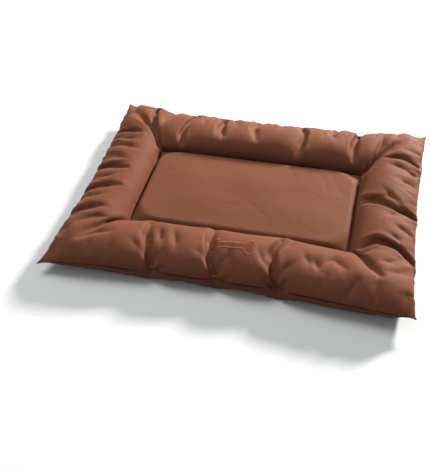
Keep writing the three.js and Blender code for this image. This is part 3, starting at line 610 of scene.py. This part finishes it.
# the stitches draw the outer seam in between the two cloths
def draw_seam(depth=4.0):
    seam = [(slice(None), 0, slice(None)), (slice(None), -1, slice(None)), (slice(None), slice(None), 0), (slice(None), slice(None), -1)]
    inward = np.zeros((3, NY, NX))
    for k, (sl, nb_) in enumerate((((0, slice(None)), (3, slice(None))), ((-1, slice(None)), (-4, slice(None))),
                                   ((slice(None), 0), (slice(None), 3)), ((slice(None), -1), (slice(None), -4)))):
        a = cloth[:, :, sl[0], sl[1]]; b = cloth[:, :, nb_[0], nb_[1]]
        d = (b[:, 0] + b[:, 1]) / 2 - (a[:, 0] + a[:, 1]) / 2
        d /= np.linalg.norm(d, axis=0) + 1e-9
        inward[:, sl[0], sl[1]] += d
    n = np.linalg.norm(inward, axis=0)
    inward /= np.where(n > 0, n, 1)
    free = grid.seam & ~grid.zip
    tip = np.hypot(HX - np.abs(grid.X), HY - np.abs(grid.Y))
    amount = depth * np.clip(tip / 30, 0, 1) * free
    for s in (0, 1):
        cloth[:, s] += inward * amount


def gathers():
    """Sharp little creases that the gathered seams send out into the cloth."""
    rng = np.random.default_rng(23)
    X, Y = grid.X, grid.Y
    top = np.zeros((NY, NX)); low = np.zeros((NY, NX))
    out_d = (1 - grid.v) * 209; in_d = grid.v * 209
    def even(a, passes):
        for _ in range(passes):
            q = a.copy()
            q[:, 1:-1, 1:-1] = 0.4 * a[:, 1:-1, 1:-1] + 0.15 * (a[:, :-2, 1:-1] + a[:, 2:, 1:-1] + a[:, 1:-1, :-2] + a[:, 1:-1, 2:])
            a = q
        return a

    # folds go in along the run of the cloth around them, not along each facet's own normal
    n = [normals_of(even(cloth[:, s], 14), s) for s in (0, 1)]
    for side, along, sign, half_len, count, deep in (("left", Y, -1, HY, 36, 1.25), ("right", Y, 1, HY, 44, 0.85),
                                                     ("front", X, -1, HX, 50, 0.6), ("back", X, 1, HX, 56, 0.95)):
        cross = X if along is Y else Y
        lead = np.abs(cross) - (IX if along is Y else IY); other = np.abs(along) - (IY if along is Y else IX)
        zone = (np.sign(cross) == sign) & (lead > other - 12) & (lead >= 0)
        for line in ("seam", "quilt", "base"):
            k = {"seam": count, "quilt": count // 3, "base": count // 2}[line]
            span = half_len - 25 if line != "quilt" else half_len - 200
            d = out_d if line != "quilt" else in_d
            for i in range(k):
                at = rng.uniform(-span, span)
                a = deep * (rng.uniform(0.8, 3.8) if line != "quilt" else rng.uniform(0.3, 1.3))
                w = rng.uniform(3.0, 8.5)
                reach = rng.uniform(22, 130) if line != "quilt" else rng.uniform(14, 50)
                lean = rng.normal(0, 0.34)
                bend = rng.normal(0, 0.002)
                off = np.abs(along - at - lean * d - bend * d * d)
                fade = np.clip(1 - d / reach, 0, 1) ** 1.2 * np.clip(d / 14.0, 0.12, 1)
                shape = (np.exp(-off / w) - 0.45 * np.exp(-((off - 2.6 * w) / (1.3 * w)) ** 2)) * fade * a
                if line == "base":
                    low += np.where(zone, shape, 0)
                else:
                    top += np.where(zone, shape, 0)
    # the pinches themselves: a sharp valley with the cloth standing up beside it, more on one side
    folds = []
    for c in FOLDS:
        folds.append((c["p"], c["depth"], c["ends"], 1.0))
        if c["depth"] >= 10:
            # a lesser fold beside it, that parts from it towards its inner end
            q = c["p"]; k = np.linspace(0, 1, len(q))[:, None]
            run = np.gradient(q, axis=0); run /= np.linalg.norm(run, axis=1)[:, None]
            side_n = np.stack([-run[:, 1], run[:, 0]], 1) * rng.choice([-1, 1])
            folds.append((q + side_n * (3 + rng.uniform(9, 17) * k), c["depth"] * rng.uniform(0.45, 0.7), (0.5, 0.1), 0.8))
    for q, depth, ends, thin in folds:
        seg = np.diff(q, axis=0); L = np.hypot(*seg.T); S = np.concatenate([[0], np.cumsum(L)])
        best = np.full(X.shape, 1e9); at = np.zeros(X.shape); sign = np.zeros(X.shape)
        for i in range(len(seg)):
            t = np.clip(((X - q[i, 0]) * seg[i, 0] + (Y - q[i, 1]) * seg[i, 1]) / L[i] ** 2, 0, 1)
            ex, ey = X - q[i, 0] - t * seg[i, 0], Y - q[i, 1] - t * seg[i, 1]
            d = np.hypot(ex, ey); m = d < best
            best[m] = d[m]; at[m] = (S[i] + t[m] * L[i]) / S[-1]
            sign[m] = np.sign(seg[i, 0] * ey - seg[i, 1] * ex)[m]
        e0, e1 = ends
        along_c = np.minimum(1, np.minimum(e0 + (1 - e0) * at / 0.35, e1 + (1 - e1) * (1 - at) / 0.35))
        past = np.clip(1 - best / 60, 0, 1)
        a = depth / 15 * rng.uniform(5.5, 7.8); lean = rng.choice([-1, 1])
        w = rng.uniform(3.4, 4.6) * thin
        # steep on the side that leans over, long on the other
        reach_w = np.where(sign == lean, 2.0, 3.4) * w
        up = np.exp(-((best - 4.3 * w) / (2.1 * w)) ** 2)
        top += along_c * past * (a * (0.55 * np.exp(-best / w) + 0.6 * np.exp(-(best / reach_w) ** 2)) - a * up * np.where(sign == lean, 0.55, 0.12))
    top *= np.clip(in_d / 26, 0, 1) * np.clip(out_d / 9, 0.25, 1)
    fixed = grid.quilt | grid.seam
    for s, h in ((0, top), (1, low)):
        cloth[:, s] -= n[s] * np.where(fixed, 0, np.clip(h, -4.2, 10.0))
        cloth[:, s] = np.where(fixed | grid.centre, cloth[:, s], even(cloth[:, s], 1))
    # on the corner diagonals the rows turn, and a fold that crosses them there is evened out
    lead = np.abs(X) - IX; other = np.abs(Y) - IY
    mitre = np.exp(-((lead - other) / 28) ** 2) * (lead > 0) * (other > 0)
    for s in (0, 1):
        cloth[:, s] += (even(cloth[:, s], 6) - cloth[:, s]) * np.where(fixed | grid.centre, 0, mitre)
    # long soft lines over the centre, where the pad has been lain on
    h = np.zeros((NY, NX))
    for i in range(26):
        ang = rng.uniform(0, math.pi); cx, cy = rng.uniform(-IX, IX), rng.uniform(-IY, IY)
        u = (X - cx) * math.cos(ang) + (Y - cy) * math.sin(ang); t = -(X - cx) * math.sin(ang) + (Y - cy) * math.cos(ang)
        L = rng.uniform(60, 190)
        t = t + 0.0018 * rng.normal() * u * u
        h += rng.uniform(0.25, 0.9) * np.exp(-np.abs(t) / rng.uniform(4, 9)) * np.clip(1 - np.abs(u) / L, 0, 1)
    cloth[2, 0] -= np.where(grid.centre, h * np.clip(-grid.v * 12, 0, 1), 0)
    cloth[2, 1] = np.maximum(cloth[2, 1], 0.2)


def corner_ears(n=24, ease=8):
    """Each corner runs out evenly into its tip, between straight lengths of seam."""
    for sy in (-1, 1):
        for sx in (-1, 1):
            view = cloth[:, :, ::-1, :] if sy > 0 else cloth
            view = view[:, :, :, ::-1] if sx > 0 else view      # now the tip is at row 0, column 0
            patch = view[:, :, :n + 1, :n + 1].copy()
            al = np.linspace(0, 1, n + 1)
            T = patch[:, :, :1, :1]; A = patch[:, :, :1, -1:]; B = patch[:, :, -1:, :1]; D = patch[:, :, -1:, -1:]
            a = al[None, None, None, :]; b_ = al[None, None, :, None]
            Ea = T + (A - T) * a                                 # along the row at the seam
            Eb = T + (B - T) * b_
            Ca = patch[:, :, -1:, :]; Cb = patch[:, :, :, -1:]
            coons = (1 - b_) * Ea + b_ * Ca + (1 - a) * Eb + a * Cb - (
                (1 - a) * (1 - b_) * T + a * (1 - b_) * A + (1 - a) * b_ * B + a * b_ * D)
            # the stuffing thins out towards the tip
            t = np.maximum(a, b_)
            mid = coons.mean(axis=1, keepdims=True)
            coons = mid + (coons - mid) * (0.6 + 0.4 * t)
            keep = np.clip((t - 0.55) / 0.45, 0, 1) ** 2
            view[:, :, :n + 1, :n + 1] = coons * (1 - keep) + patch * keep
            # a few passes to ease the join
            m = n + ease
            for _ in range(6):
                w = view[:, :, :m + 1, :m + 1]
                q = w.copy()
                q[:, :, 1:-1, 1:-1] = 0.5 * w[:, :, 1:-1, 1:-1] + 0.125 * (w[:, :, :-2, 1:-1] + w[:, :, 2:, 1:-1] + w[:, :, 1:-1, :-2] + w[:, :, 1:-1, 2:])
                q[:, :, 0, 1:-1] = 0.5 * w[:, :, 0, 1:-1] + 0.25 * (w[:, :, 0, :-2] + w[:, :, 0, 2:])
                q[:, :, 1:-1, 0] = 0.5 * w[:, :, 1:-1, 0] + 0.25 * (w[:, :, :-2, 0] + w[:, :, 2:, 0])
                view[:, :, :m + 1, :m + 1] = q


corner_ears()
gathers()
draw_seam()
normal = [normals_of(cloth[:, s], s) for s in (0, 1)]
flat_u = np.concatenate([[0], np.cumsum(grid.dx[0].mean(0))]) ; flat_u -= flat_u.mean()
flat_v = np.concatenate([[0], np.cumsum(grid.dy[0].mean(1))]) ; flat_v -= flat_v.mean()


def lay(X, Y, lift=0.0, s=0):
    """Point of the made-up cloth, in mm, for a place X, Y on the grid."""
    c = np.interp(X, grid.xs, np.arange(NX)); r = np.interp(Y, grid.ys, np.arange(NY))
    c0 = np.minimum(c.astype(int), NX - 2); r0 = np.minimum(r.astype(int), NY - 2)
    fc, fr = c - c0, r - r0
    def at(a):
        return (a[:, r0, c0] * (1 - fr) * (1 - fc) + a[:, r0, c0 + 1] * (1 - fr) * fc
                + a[:, r0 + 1, c0] * fr * (1 - fc) + a[:, r0 + 1, c0 + 1] * fr * fc)
    p, n = at(cloth[:, s]), at(normal[s])
    n /= np.linalg.norm(n, axis=0)
    return p + n * lift, n


def mesh_object(name, verts, faces, mat, uvs=None, smooth=True):
    me = bpy.data.meshes.new(name)
    me.from_pydata([tuple(v) for v in verts], [], faces)
    if uvs is not None:
        layer = me.uv_layers.new(name="cloth")
        loops = np.empty(len(me.loops), int)
        me.loops.foreach_get("vertex_index", loops)
        layer.data.foreach_set("uv", np.asarray(uvs)[loops].astype(np.float32).ravel())
    me.materials.append(mat)
    if smooth:
        me.shade_smooth()
    me.validate()
    ob = bpy.data.objects.new(name, me)
    scene.collection.objects.link(ob)
    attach(ob, BODY)
    return ob


def shell(name, s, c_lo, c_hi, r_lo, r_hi, hole, step, inner_step, thick, mat):
    """One panel of the cover as a closed thin shell: the outer face on every step-th grid
    line and the inner face on every inner_step-th, sewn together around the edges."""
    verts, uvs, number = [], [], {}

    def put(r, c, face):
        k = (r, c, face)
        if k not in number:
            number[k] = len(verts)
            p = cloth[:, s, r, c]
            if face:
                p = p - normal[s][:, r, c] * thick
            verts.append(p * MM); uvs.append((flat_u[c] * MM, flat_v[r] * MM))
        return number[k]

    def is_edge(r, c, r2, c2):
        if r == r2 and (r in (r_lo, r_hi)):
            return True
        if c == c2 and (c in (c_lo, c_hi)):
            return True
        if hole:
            h = hole
            if r == r2 and r in (h[2], h[3]) and h[0] <= min(c, c2) and max(c, c2) <= h[1]:
                return True
            if c == c2 and c in (h[0], h[1]) and h[2] <= min(r, r2) and max(r, r2) <= h[3]:
                return True
        return False

    def along(r, c, r2, c2, fine):
        n = max(abs(r2 - r), abs(c2 - c)) // fine
        return [(r + (r2 - r) * i // n, c + (c2 - c) * i // n) for i in range(n)]

    faces = []
    for face, st in ((0, step), (1, inner_step)):
        for r in range(r_lo, r_hi, st):
            for c in range(c_lo, c_hi, st):
                if hole and hole[0] <= c < hole[1] and hole[2] <= r < hole[3]:
                    continue
                ring = [(r, c), (r, c + st), (r + st, c + st), (r + st, c)]
                poly = []
                for i in range(4):
                    (ra, ca), (rb, cb) = ring[i], ring[(i + 1) % 4]
                    fine = 1 if face == 0 and is_edge(ra, ca, rb, cb) else st
                    poly += along(ra, ca, rb, cb, fine)
                    if face == 0 and is_edge(ra, ca, rb, cb):
                        pass
                if (face == 0) == (s == 0):
                    faces.append([put(*k, face) for k in poly])
                else:
                    faces.append([put(*k, face) for k in reversed(poly)])
                if face == 1:
                    # close the edge between the two faces
                    for i in range(4):
                        (ra, ca), (rb, cb) = ring[i], ring[(i + 1) % 4]
                        if is_edge(ra, ca, rb, cb):
                            out = along(ra, ca, rb, cb, 1) + [(rb, cb)]
                            loop = [put(*k, 0) for k in reversed(out)] + [put(ra, ca, 1), put(rb, cb, 1)]
                            faces.append(loop if s == 0 else loop[::-1])
    return mesh_object(name, verts, faces, mat, uvs)


c0, c1, r0, r1 = NB, NX - 1 - NB, NB, NY - 1 - NB
border = shell("border_cover", 0, 0, NX - 1, 0, NY - 1, (c0, c1, r0, r1), 1, 2, 1.1, cover_mat)
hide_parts("border_top_panel")
centre = shell("centre_cover", 0, c0, c1, r0, r1, None, 1, 2, 1.1, cover_mat)
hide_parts("centre_top_panel")
base = shell("base_cover", 1, 0, NX - 1, 0, NY - 1, None, 2, 4, 1.1, base_mat)
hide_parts("base_panel")


# -------------------------------------------------------------- the filling
def lowest(a, k):
    """The least value within k grid steps, and for -a the greatest."""
    out = a.copy()
    for axis in (0, 1):
        src = out.copy()
        for i in range(1, k + 1):
            for sgn in (1, -1):
                sh = np.roll(src, sgn * i, axis)
                edge_ = [slice(None), slice(None)]
                edge_[axis] = slice(0, i) if sgn > 0 else slice(-i, None)
                sh[tuple(edge_)] = src[tuple(edge_)]
                out = np.minimum(out, sh)
    return out


UNDER_TOP = lowest(cloth[2, 0], 4) - 5.0
OVER_BASE = -lowest(-cloth[2, 1], 4) + 3.0


def filling(name, c_lo, c_hi, r_lo, r_hi, step, node, inset=9.0, keep=None):
    """A closed block of fibre between the two cloths, a little inside them."""
    rows = list(range(r_lo, r_hi + 1, step)); cols = list(range(c_lo, c_hi + 1, step))
    ok = np.array([[keep(r, c) if keep else True for c in cols] for r in rows])
    verts, faces, number = [], [], {}

    def put(i, j, s):
        k = (i, j, s)
        if k not in number:
            r, c = rows[i], cols[j]
            a = cloth[:, 0, r, c].copy(); a[2] = min(UNDER_TOP[r, c], a[2] - inset)
            b = cloth[:, 1, r, c].copy(); b[2] = OVER_BASE[r, c]
            if a[2] - b[2] < 2.0:
                mid = (a[2] + b[2]) / 2
                a = a.copy(); b = b.copy(); a[2] = mid + 1; b[2] = mid - 1
            number[k] = len(verts)
            verts.append((a if s == 0 else b) * MM)
        return number[k]

    n, m = len(rows) - 1, len(cols) - 1
    cell = ok[:-1, :-1] & ok[1:, :-1] & ok[:-1, 1:] & ok[1:, 1:]
    for i in range(n):
        for j in range(m):
            if not cell[i, j]:
                continue
            q = [(i, j), (i, j + 1), (i + 1, j + 1), (i + 1, j)]
            faces.append([put(*k, 0) for k in q])
            faces.append([put(*k, 1) for k in reversed(q)])
            for a, b, oi, oj in ((q[0], q[1], i - 1, j), (q[1], q[2], i, j + 1), (q[2], q[3], i + 1, j), (q[3], q[0], i, j - 1)):
                if not (0 <= oi < n and 0 <= oj < m and cell[oi, oj]):
                    faces.append([put(*b, 0), put(*a, 0), put(*a, 1), put(*b, 1)])
    ob = mesh_object(name, verts, faces, fill_mat)
    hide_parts(node)
    return ob


def side_of(r, c):
    """Which length of the border a grid point belongs to, cut along the corner diagonals."""
    x, y = grid.xs[c], grid.ys[r]
    dx, dy = abs(x) - IX, abs(y) - IY
    return ("right" if x > 0 else "left") if dx > dy else ("back" if y > 0 else "front")


edge = 6
ring = lambda r, c: max(abs(grid.xs[c]) - IX, abs(grid.ys[r]) - IY)
inside = lambda r, c: 24 < ring(r, c) < 142
diag = lambda r, c: abs((abs(grid.xs[c]) - IX) - (abs(grid.ys[r]) - IY)) > 2.2
for side in ("front", "right", "back", "left"):
    filling("fill_" + side, 0, NX - 1, 0, NY - 1, 2, "bolster_" + side,
            keep=lambda r, c, side=side: side_of(r, c) == side and inside(r, c) and (diag(r, c) or side in ("front", "back")))
filling("fill_centre", c0 + 4, c1 - 4, r0 + 4, r1 - 4, 4, "centre_fill_pad")
# ----------------------------------------------------- stitches, badge and label
def tubes(name, lines, radius, mat, sides=5, flat=1.0):
    """Many short threads as one mesh; each line is an array of points in mm, n by 3, closed at both ends."""
    verts, faces = [], []
    for pts in lines:
        pts = np.asarray(pts)
        d = np.gradient(pts, axis=0); d /= np.linalg.norm(d, axis=1)[:, None] + 1e-9
        ref = np.array([0.0, 0.0, 1.0]) if abs(d[0, 2]) < 0.9 else np.array([1.0, 0.0, 0.0])
        a = np.cross(d, ref); a /= np.linalg.norm(a, axis=1)[:, None] + 1e-9
        b = np.cross(a, d)
        base_i = len(verts); n = len(pts)
        ends = np.ones(n) * radius; ends[0] = ends[-1] = radius * 0.55
        for i in range(n):
            for k in range(sides):
                t = 2 * math.pi * k / sides
                verts.append((pts[i] + ends[i] * (math.cos(t) * a[i] + flat * math.sin(t) * b[i])) * MM)
        for i in range(n - 1):
            for k in range(sides):
                k2 = (k + 1) % sides
                faces.append((base_i + i * sides + k, base_i + (i + 1) * sides + k, base_i + (i + 1) * sides + k2, base_i + i * sides + k2))
        faces.append([base_i + k for k in range(sides)])
        faces.append([base_i + (n - 1) * sides + k for k in reversed(range(sides))])
    return mesh_object(name, verts, faces, mat)


def stitch_lines(path, pitch=4.2, gap=1.0, dip=0.55):
    """Cuts a path of points, n by 3 in mm, into stitches that dip into the cloth at both ends."""
    seg = np.linalg.norm(np.diff(path[:, :3], axis=0), axis=1); S = np.concatenate([[0], np.cumsum(seg)])
    at = lambda s: np.stack([np.interp(s, S, path[:, k]) for k in range(path.shape[1])], 1)
    out = []
    n = int(S[-1] / pitch)
    for i in range(n):
        s = np.linspace(i * pitch, (i + 1) * pitch - gap, 5)
        p = at(s)
        sink = np.array([dip, 0.1, 0, 0.1, dip])[:, None]
        nn = p[:, 3:6] / (np.linalg.norm(p[:, 3:6], axis=1)[:, None] + 1e-9)
        out.append(p[:, :3] - nn * sink)
    return out


def rectangle(hx, hy, n=260):
    xs = np.concatenate([np.linspace(-hx, hx, n), np.full(n, hx), np.linspace(hx, -hx, n), np.full(n, -hx)])
    ys = np.concatenate([np.full(n, -hy), np.linspace(-hy, hy, n), np.full(n, hy), np.linspace(hy, -hy, n)])
    return xs, ys


xs, ys = rectangle(IX - 3.2, IY - 3.2)
p, n = lay(xs, ys, 0.25)
quilting = tubes("quilting_stitches", stitch_lines(np.concatenate([p, n]).T, 3.8, 0.9), 0.42, thread_mat)
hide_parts("quilting_thread")

# the outer seam: a row of stitches just above the join, all round except along the zip
lines = []
for part in ("front", "right", "left", "back_l", "back_r"):
    t = np.linspace(-1, 1, 400)
    if part == "front":
        X, Y = t * (HX - 10), np.full(400, -(HY - 3.4))
    elif part in ("right", "left"):
        X, Y = np.full(400, (1 if part == "right" else -1) * (HX - 3.4)), t * (HY - 10)
    else:
        X, Y = (t * 0.5 + 0.5) * (HX - 10 - IX - 15) + IX + 15, np.full(400, HY - 3.4)
        if part == "back_l":
            X = -X
    p, n = lay(X, Y, 0.2)
    lines += stitch_lines(np.concatenate([p, n]).T, 4.4, 1.1)
seam_thread = tubes("outer_seam_stitches", lines, 0.4, thread_mat)
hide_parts("outer_seam_thread")


def bone(cx, cy, length, height, n=300):
    """Outline of a plain bone shape, with its centre at cx, cy."""
    r = height * 0.285
    pts = []
    ex, ey = length / 2 - r, height / 2 - r
    def arc(x, y, a0, a1, k=40):
        a = np.radians(np.linspace(a0, a1, k))
        return [(x + r * math.cos(v), y + r * math.sin(v)) for v in a]
    meet = math.degrees(math.acos(min(1, math.sqrt(max(0, r * r - ey * ey)) / r)))
    pts += arc(ex, ey, 186, -meet)             # upper right lobe, clockwise
    pts += arc(ex, -ey, meet, -186)
    right_half = pts
    pts = [(x, y) for x, y in right_half]
    left = [(-x, -y) for x, y in right_half]
    loop = np.array(pts + left)
    # even spacing, a little rounded where the shaft meets the lobes
    loop = np.concatenate([loop, loop[:1]])
    S = np.concatenate([[0], np.cumsum(np.hypot(*np.diff(loop, axis=0).T))])
    s = np.linspace(0, S[-1], n, endpoint=False)
    q = np.stack([np.interp(s, S, loop[:, 0]), np.interp(s, S, loop[:, 1])], 1)
    for _ in range(3):
        q = 0.5 * q + 0.25 * (np.roll(q, 1, 0) + np.roll(q, -1, 0))
    return q + np.array([cx, cy])


EMB_X, EMB_Y, EMB_LEN, EMB_H = 14.0, -258.0, 118.0, 40.0
outline = bone(EMB_X, EMB_Y, EMB_LEN, EMB_H, 560)
tang = np.roll(outline, -1, 0) - np.roll(outline, 1, 0)
tang /= np.linalg.norm(tang, axis=1)[:, None]
nor = np.stack([-tang[:, 1], tang[:, 0]], 1)
threads = []
for i in range(len(outline)):
    j = (i + 1) % len(outline)
    a = outline[i] + nor[i] * 1.5; b_ = outline[j] - nor[j] * 1.5
    t = np.linspace(0, 1, 5)
    x = a[0] * (1 - t) + b_[0] * t; y = a[1] * (1 - t) + b_[1] * t
    p, n = lay(x, y, 0.0)
    threads.append((p + n * np.array([0.1, 0.62, 0.75, 0.62, 0.1])).T)
# rows of running stitches across the middle of the badge
inner = outline - np.array([EMB_X, EMB_Y])


def width_at(y):
    c = inner
    hits = []
    for i in range(len(c)):
        a, b_ = c[i], c[(i + 1) % len(c)]
        if (a[1] - y) * (b_[1] - y) < 0:
            hits.append(a[0] + (b_[0] - a[0]) * (y - a[1]) / (b_[1] - a[1]))
    return sorted(hits)


row = 0
for y in np.arange(-EMB_H / 2 + 2.6, EMB_H / 2 - 2.4, 1.05):
    hits = width_at(y)
    row += 1
    for lo, hi in zip(hits[::2], hits[1::2]):
        lo, hi = lo + 2.2, hi - 2.2
        x = lo - (row % 3) * 1.4
        while x < hi:
            s0, s1 = max(x, lo), min(x + 4.0, hi)
            if s1 - s0 > 1.2:
                t = np.linspace(s0, s1, 5)
                p, n = lay(t + EMB_X, np.full(5, y + EMB_Y), 0.0)
                threads.append((p + n * np.array([0.02, 0.32, 0.38, 0.32, 0.02])).T)
            x += 4.4
badge = tubes("bone_embroidery", threads, 0.36, copper_mat, sides=5, flat=0.8)
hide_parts("embroidered_emblem")

# the care label, folded into the back seam
seam_pts = cloth[:, 0, -1, :]
order = np.argsort(seam_pts[0])
LAB_W, LAB_L, LAB_T = 34.0, 28.5, 0.45
nu, nv = 15, 15
front_face = []
behind = (cloth[0] > -410) & (cloth[0] < -335) & (cloth[1] > 250)
back_cloth = [cloth[k][behind] for k in range(3)]
luv = []
for j in range(nv):
    v = j / (nv - 1)
    for i in range(nu):
        u = i / (nu - 1)
        x = -389 + LAB_W * u
        y0 = np.interp(x, seam_pts[0][order], seam_pts[1][order]); z0 = np.interp(x, seam_pts[0][order], seam_pts[2][order])
        ymid = np.interp(-372, seam_pts[0][order], seam_pts[1][order]); zmid = np.interp(-372, seam_pts[0][order], seam_pts[2][order])
        y0 = ymid + (y0 - ymid) * (1 - v); z0 = zmid + (z0 - zmid) * (1 - v)
        out = 0.6 + 5.0 * math.sin(v * 1.9) + 1.1 * math.sin(u * 3.1) * v
        z_here = z0 - 0.8 - v * LAB_L * 0.95
        near = (np.abs(back_cloth[0] - x) < 9) & (np.abs(back_cloth[2] - z_here) < 6)
        front_face.append(np.array([x, max(y0 + out, back_cloth[1][near].max() + 1.3) if near.any() else y0 + out, z_here]))
        luv.append((x * MM, -v * LAB_L * MM))
verts = [q * MM for q in front_face] + [(q - np.array([0, LAB_T, 0])) * MM for q in front_face]
N = nu * nv
faces = []
for j in range(nv - 1):
    for i in range(nu - 1):
        a = j * nu + i
        faces.append((a, a + nu, a + nu + 1, a + 1)[::-1])
        faces.append((N + a, N + a + nu, N + a + nu + 1, N + a + 1))
rim = [j * nu for j in range(nv)] + [(nv - 1) * nu + i for i in range(1, nu)] + [j * nu + nu - 1 for j in range(nv - 2, -1, -1)] + [i for i in range(nu - 2, 0, -1)]
for a, b_ in zip(rim, rim[1:] + rim[:1]):
    faces.append((a, N + a, N + b_, b_)[::-1])
label = mesh_object("blank_care_label", verts, faces, label_mat, luv + luv)
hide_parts("care_label")


# ------------------------------------------------------------------------- zip
TAPE_Y, TAPE_T = 328.8, 0.8
for name, sheet_no, sign, node in (("zip_tape_top", 0, 1, "zip_tape_upper"), ("zip_tape_bottom", 1, -1, "zip_tape_lower")):
    # each tape stands flat beside the coil, then runs on behind the hem of the cover
    w_ = 205
    xs_t = np.linspace(-302, 302, w_)
    hem = ZIP_TOP if sign > 0 else ZIP_LOW
    rows = []
    for z in (38.0 + sign * 0.6, 38.0 + sign * 2.6, hem - sign * 0.4):
        rows.append(np.stack([xs_t, np.full(w_, TAPE_Y), np.full(w_, z)]))
    for d in (2.6, 5.2, 7.6):
        q, _ = lay(xs_t / ZIP_DRAW * (IX / 313.0), np.full(w_, HY - d), -1.1 - 1.3, sheet_no)
        q[0] = xs_t; q[1] = np.minimum(q[1], TAPE_Y + 0.4)
        rows.append(q)
    P_t = np.stack(rows, 1)                                  # 3, rows, columns
    gx_, gy_ = np.gradient(P_t, axis=2), np.gradient(P_t, axis=1)
    n_t = np.cross(gx_, gy_, axis=0); n_t /= np.linalg.norm(n_t, axis=0) + 1e-9
    if n_t[1].mean() < 0:
        n_t = -n_t
    h_ = P_t.shape[1]; N = w_ * h_
    long_v = np.concatenate([[0], np.cumsum(np.linalg.norm(np.diff(P_t, axis=1), axis=0).mean(1))])
    verts, faces, uvs = [], [], []
    for face in (0.5, -0.5):
        for r in range(h_):
            for c in range(w_):
                verts.append((P_t[:, r, c] + n_t[:, r, c] * TAPE_T * face) * MM)
                uvs.append((xs_t[c] * MM, long_v[r] * MM))
    for r in range(h_ - 1):
        for c in range(w_ - 1):
            a = r * w_ + c
            q = (a, a + w_, a + w_ + 1, a + 1) if sign > 0 else (a, a + 1, a + w_ + 1, a + w_)
            faces.append(q); faces.append(tuple(N + k for k in reversed(q)))
    rim = [c for c in range(w_)] + [r * w_ + w_ - 1 for r in range(1, h_)] + [(h_ - 1) * w_ + c for c in range(w_ - 2, -1, -1)] + [r * w_ for r in range(h_ - 2, 0, -1)]
    for a, b_ in zip(rim, rim[1:] + rim[:1]):
        q = (b_, a, N + a, N + b_)
        faces.append(q if sign < 0 else q[::-1])
    tape = mesh_object(name, verts, faces, tape_mat, uvs)
    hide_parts(node)

for name, zc, sign, node in (("zip_teeth_top", 39.75, 1, "zip_coil_upper"), ("zip_teeth_bottom", 36.25, -1, "zip_coil_lower")):
    # one long nylon spiral, flattened, with the loops of the two sides set half a turn apart
    pitch, per = 1.6, 10
    turns = int(580 / pitch)
    k = np.arange(turns * per + 1)
    ang = 2 * math.pi * k / per + (0 if sign > 0 else math.pi)
    x = -290 + (580 / turns) * k / per
    y = 330.6 + 0.78 * np.cos(ang)
    z = zc + sign * 0.05 + 0.95 * np.sin(ang)
    pts = np.clip(np.stack([x, y, z], 1), [-289.7, 0, 0], [289.7, 1e3, 1e3])
    coil = tubes(name, [pts], 0.3, nylon_mat, sides=5)
    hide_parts(node)

FINISH = {"zip_stop_closed_end": metal_mat, "zip_stop_open_end": metal_mat, "zip_slider": metal_mat,
          "zip_pull_ring": metal_mat, "zip_pull_tab": rubber_mat}
for name, mat in FINISH.items():
    ob = bpy.data.objects.get(name)
    if ob:
        for i in range(len(ob.data.materials)):
            ob.data.materials[i] = mat
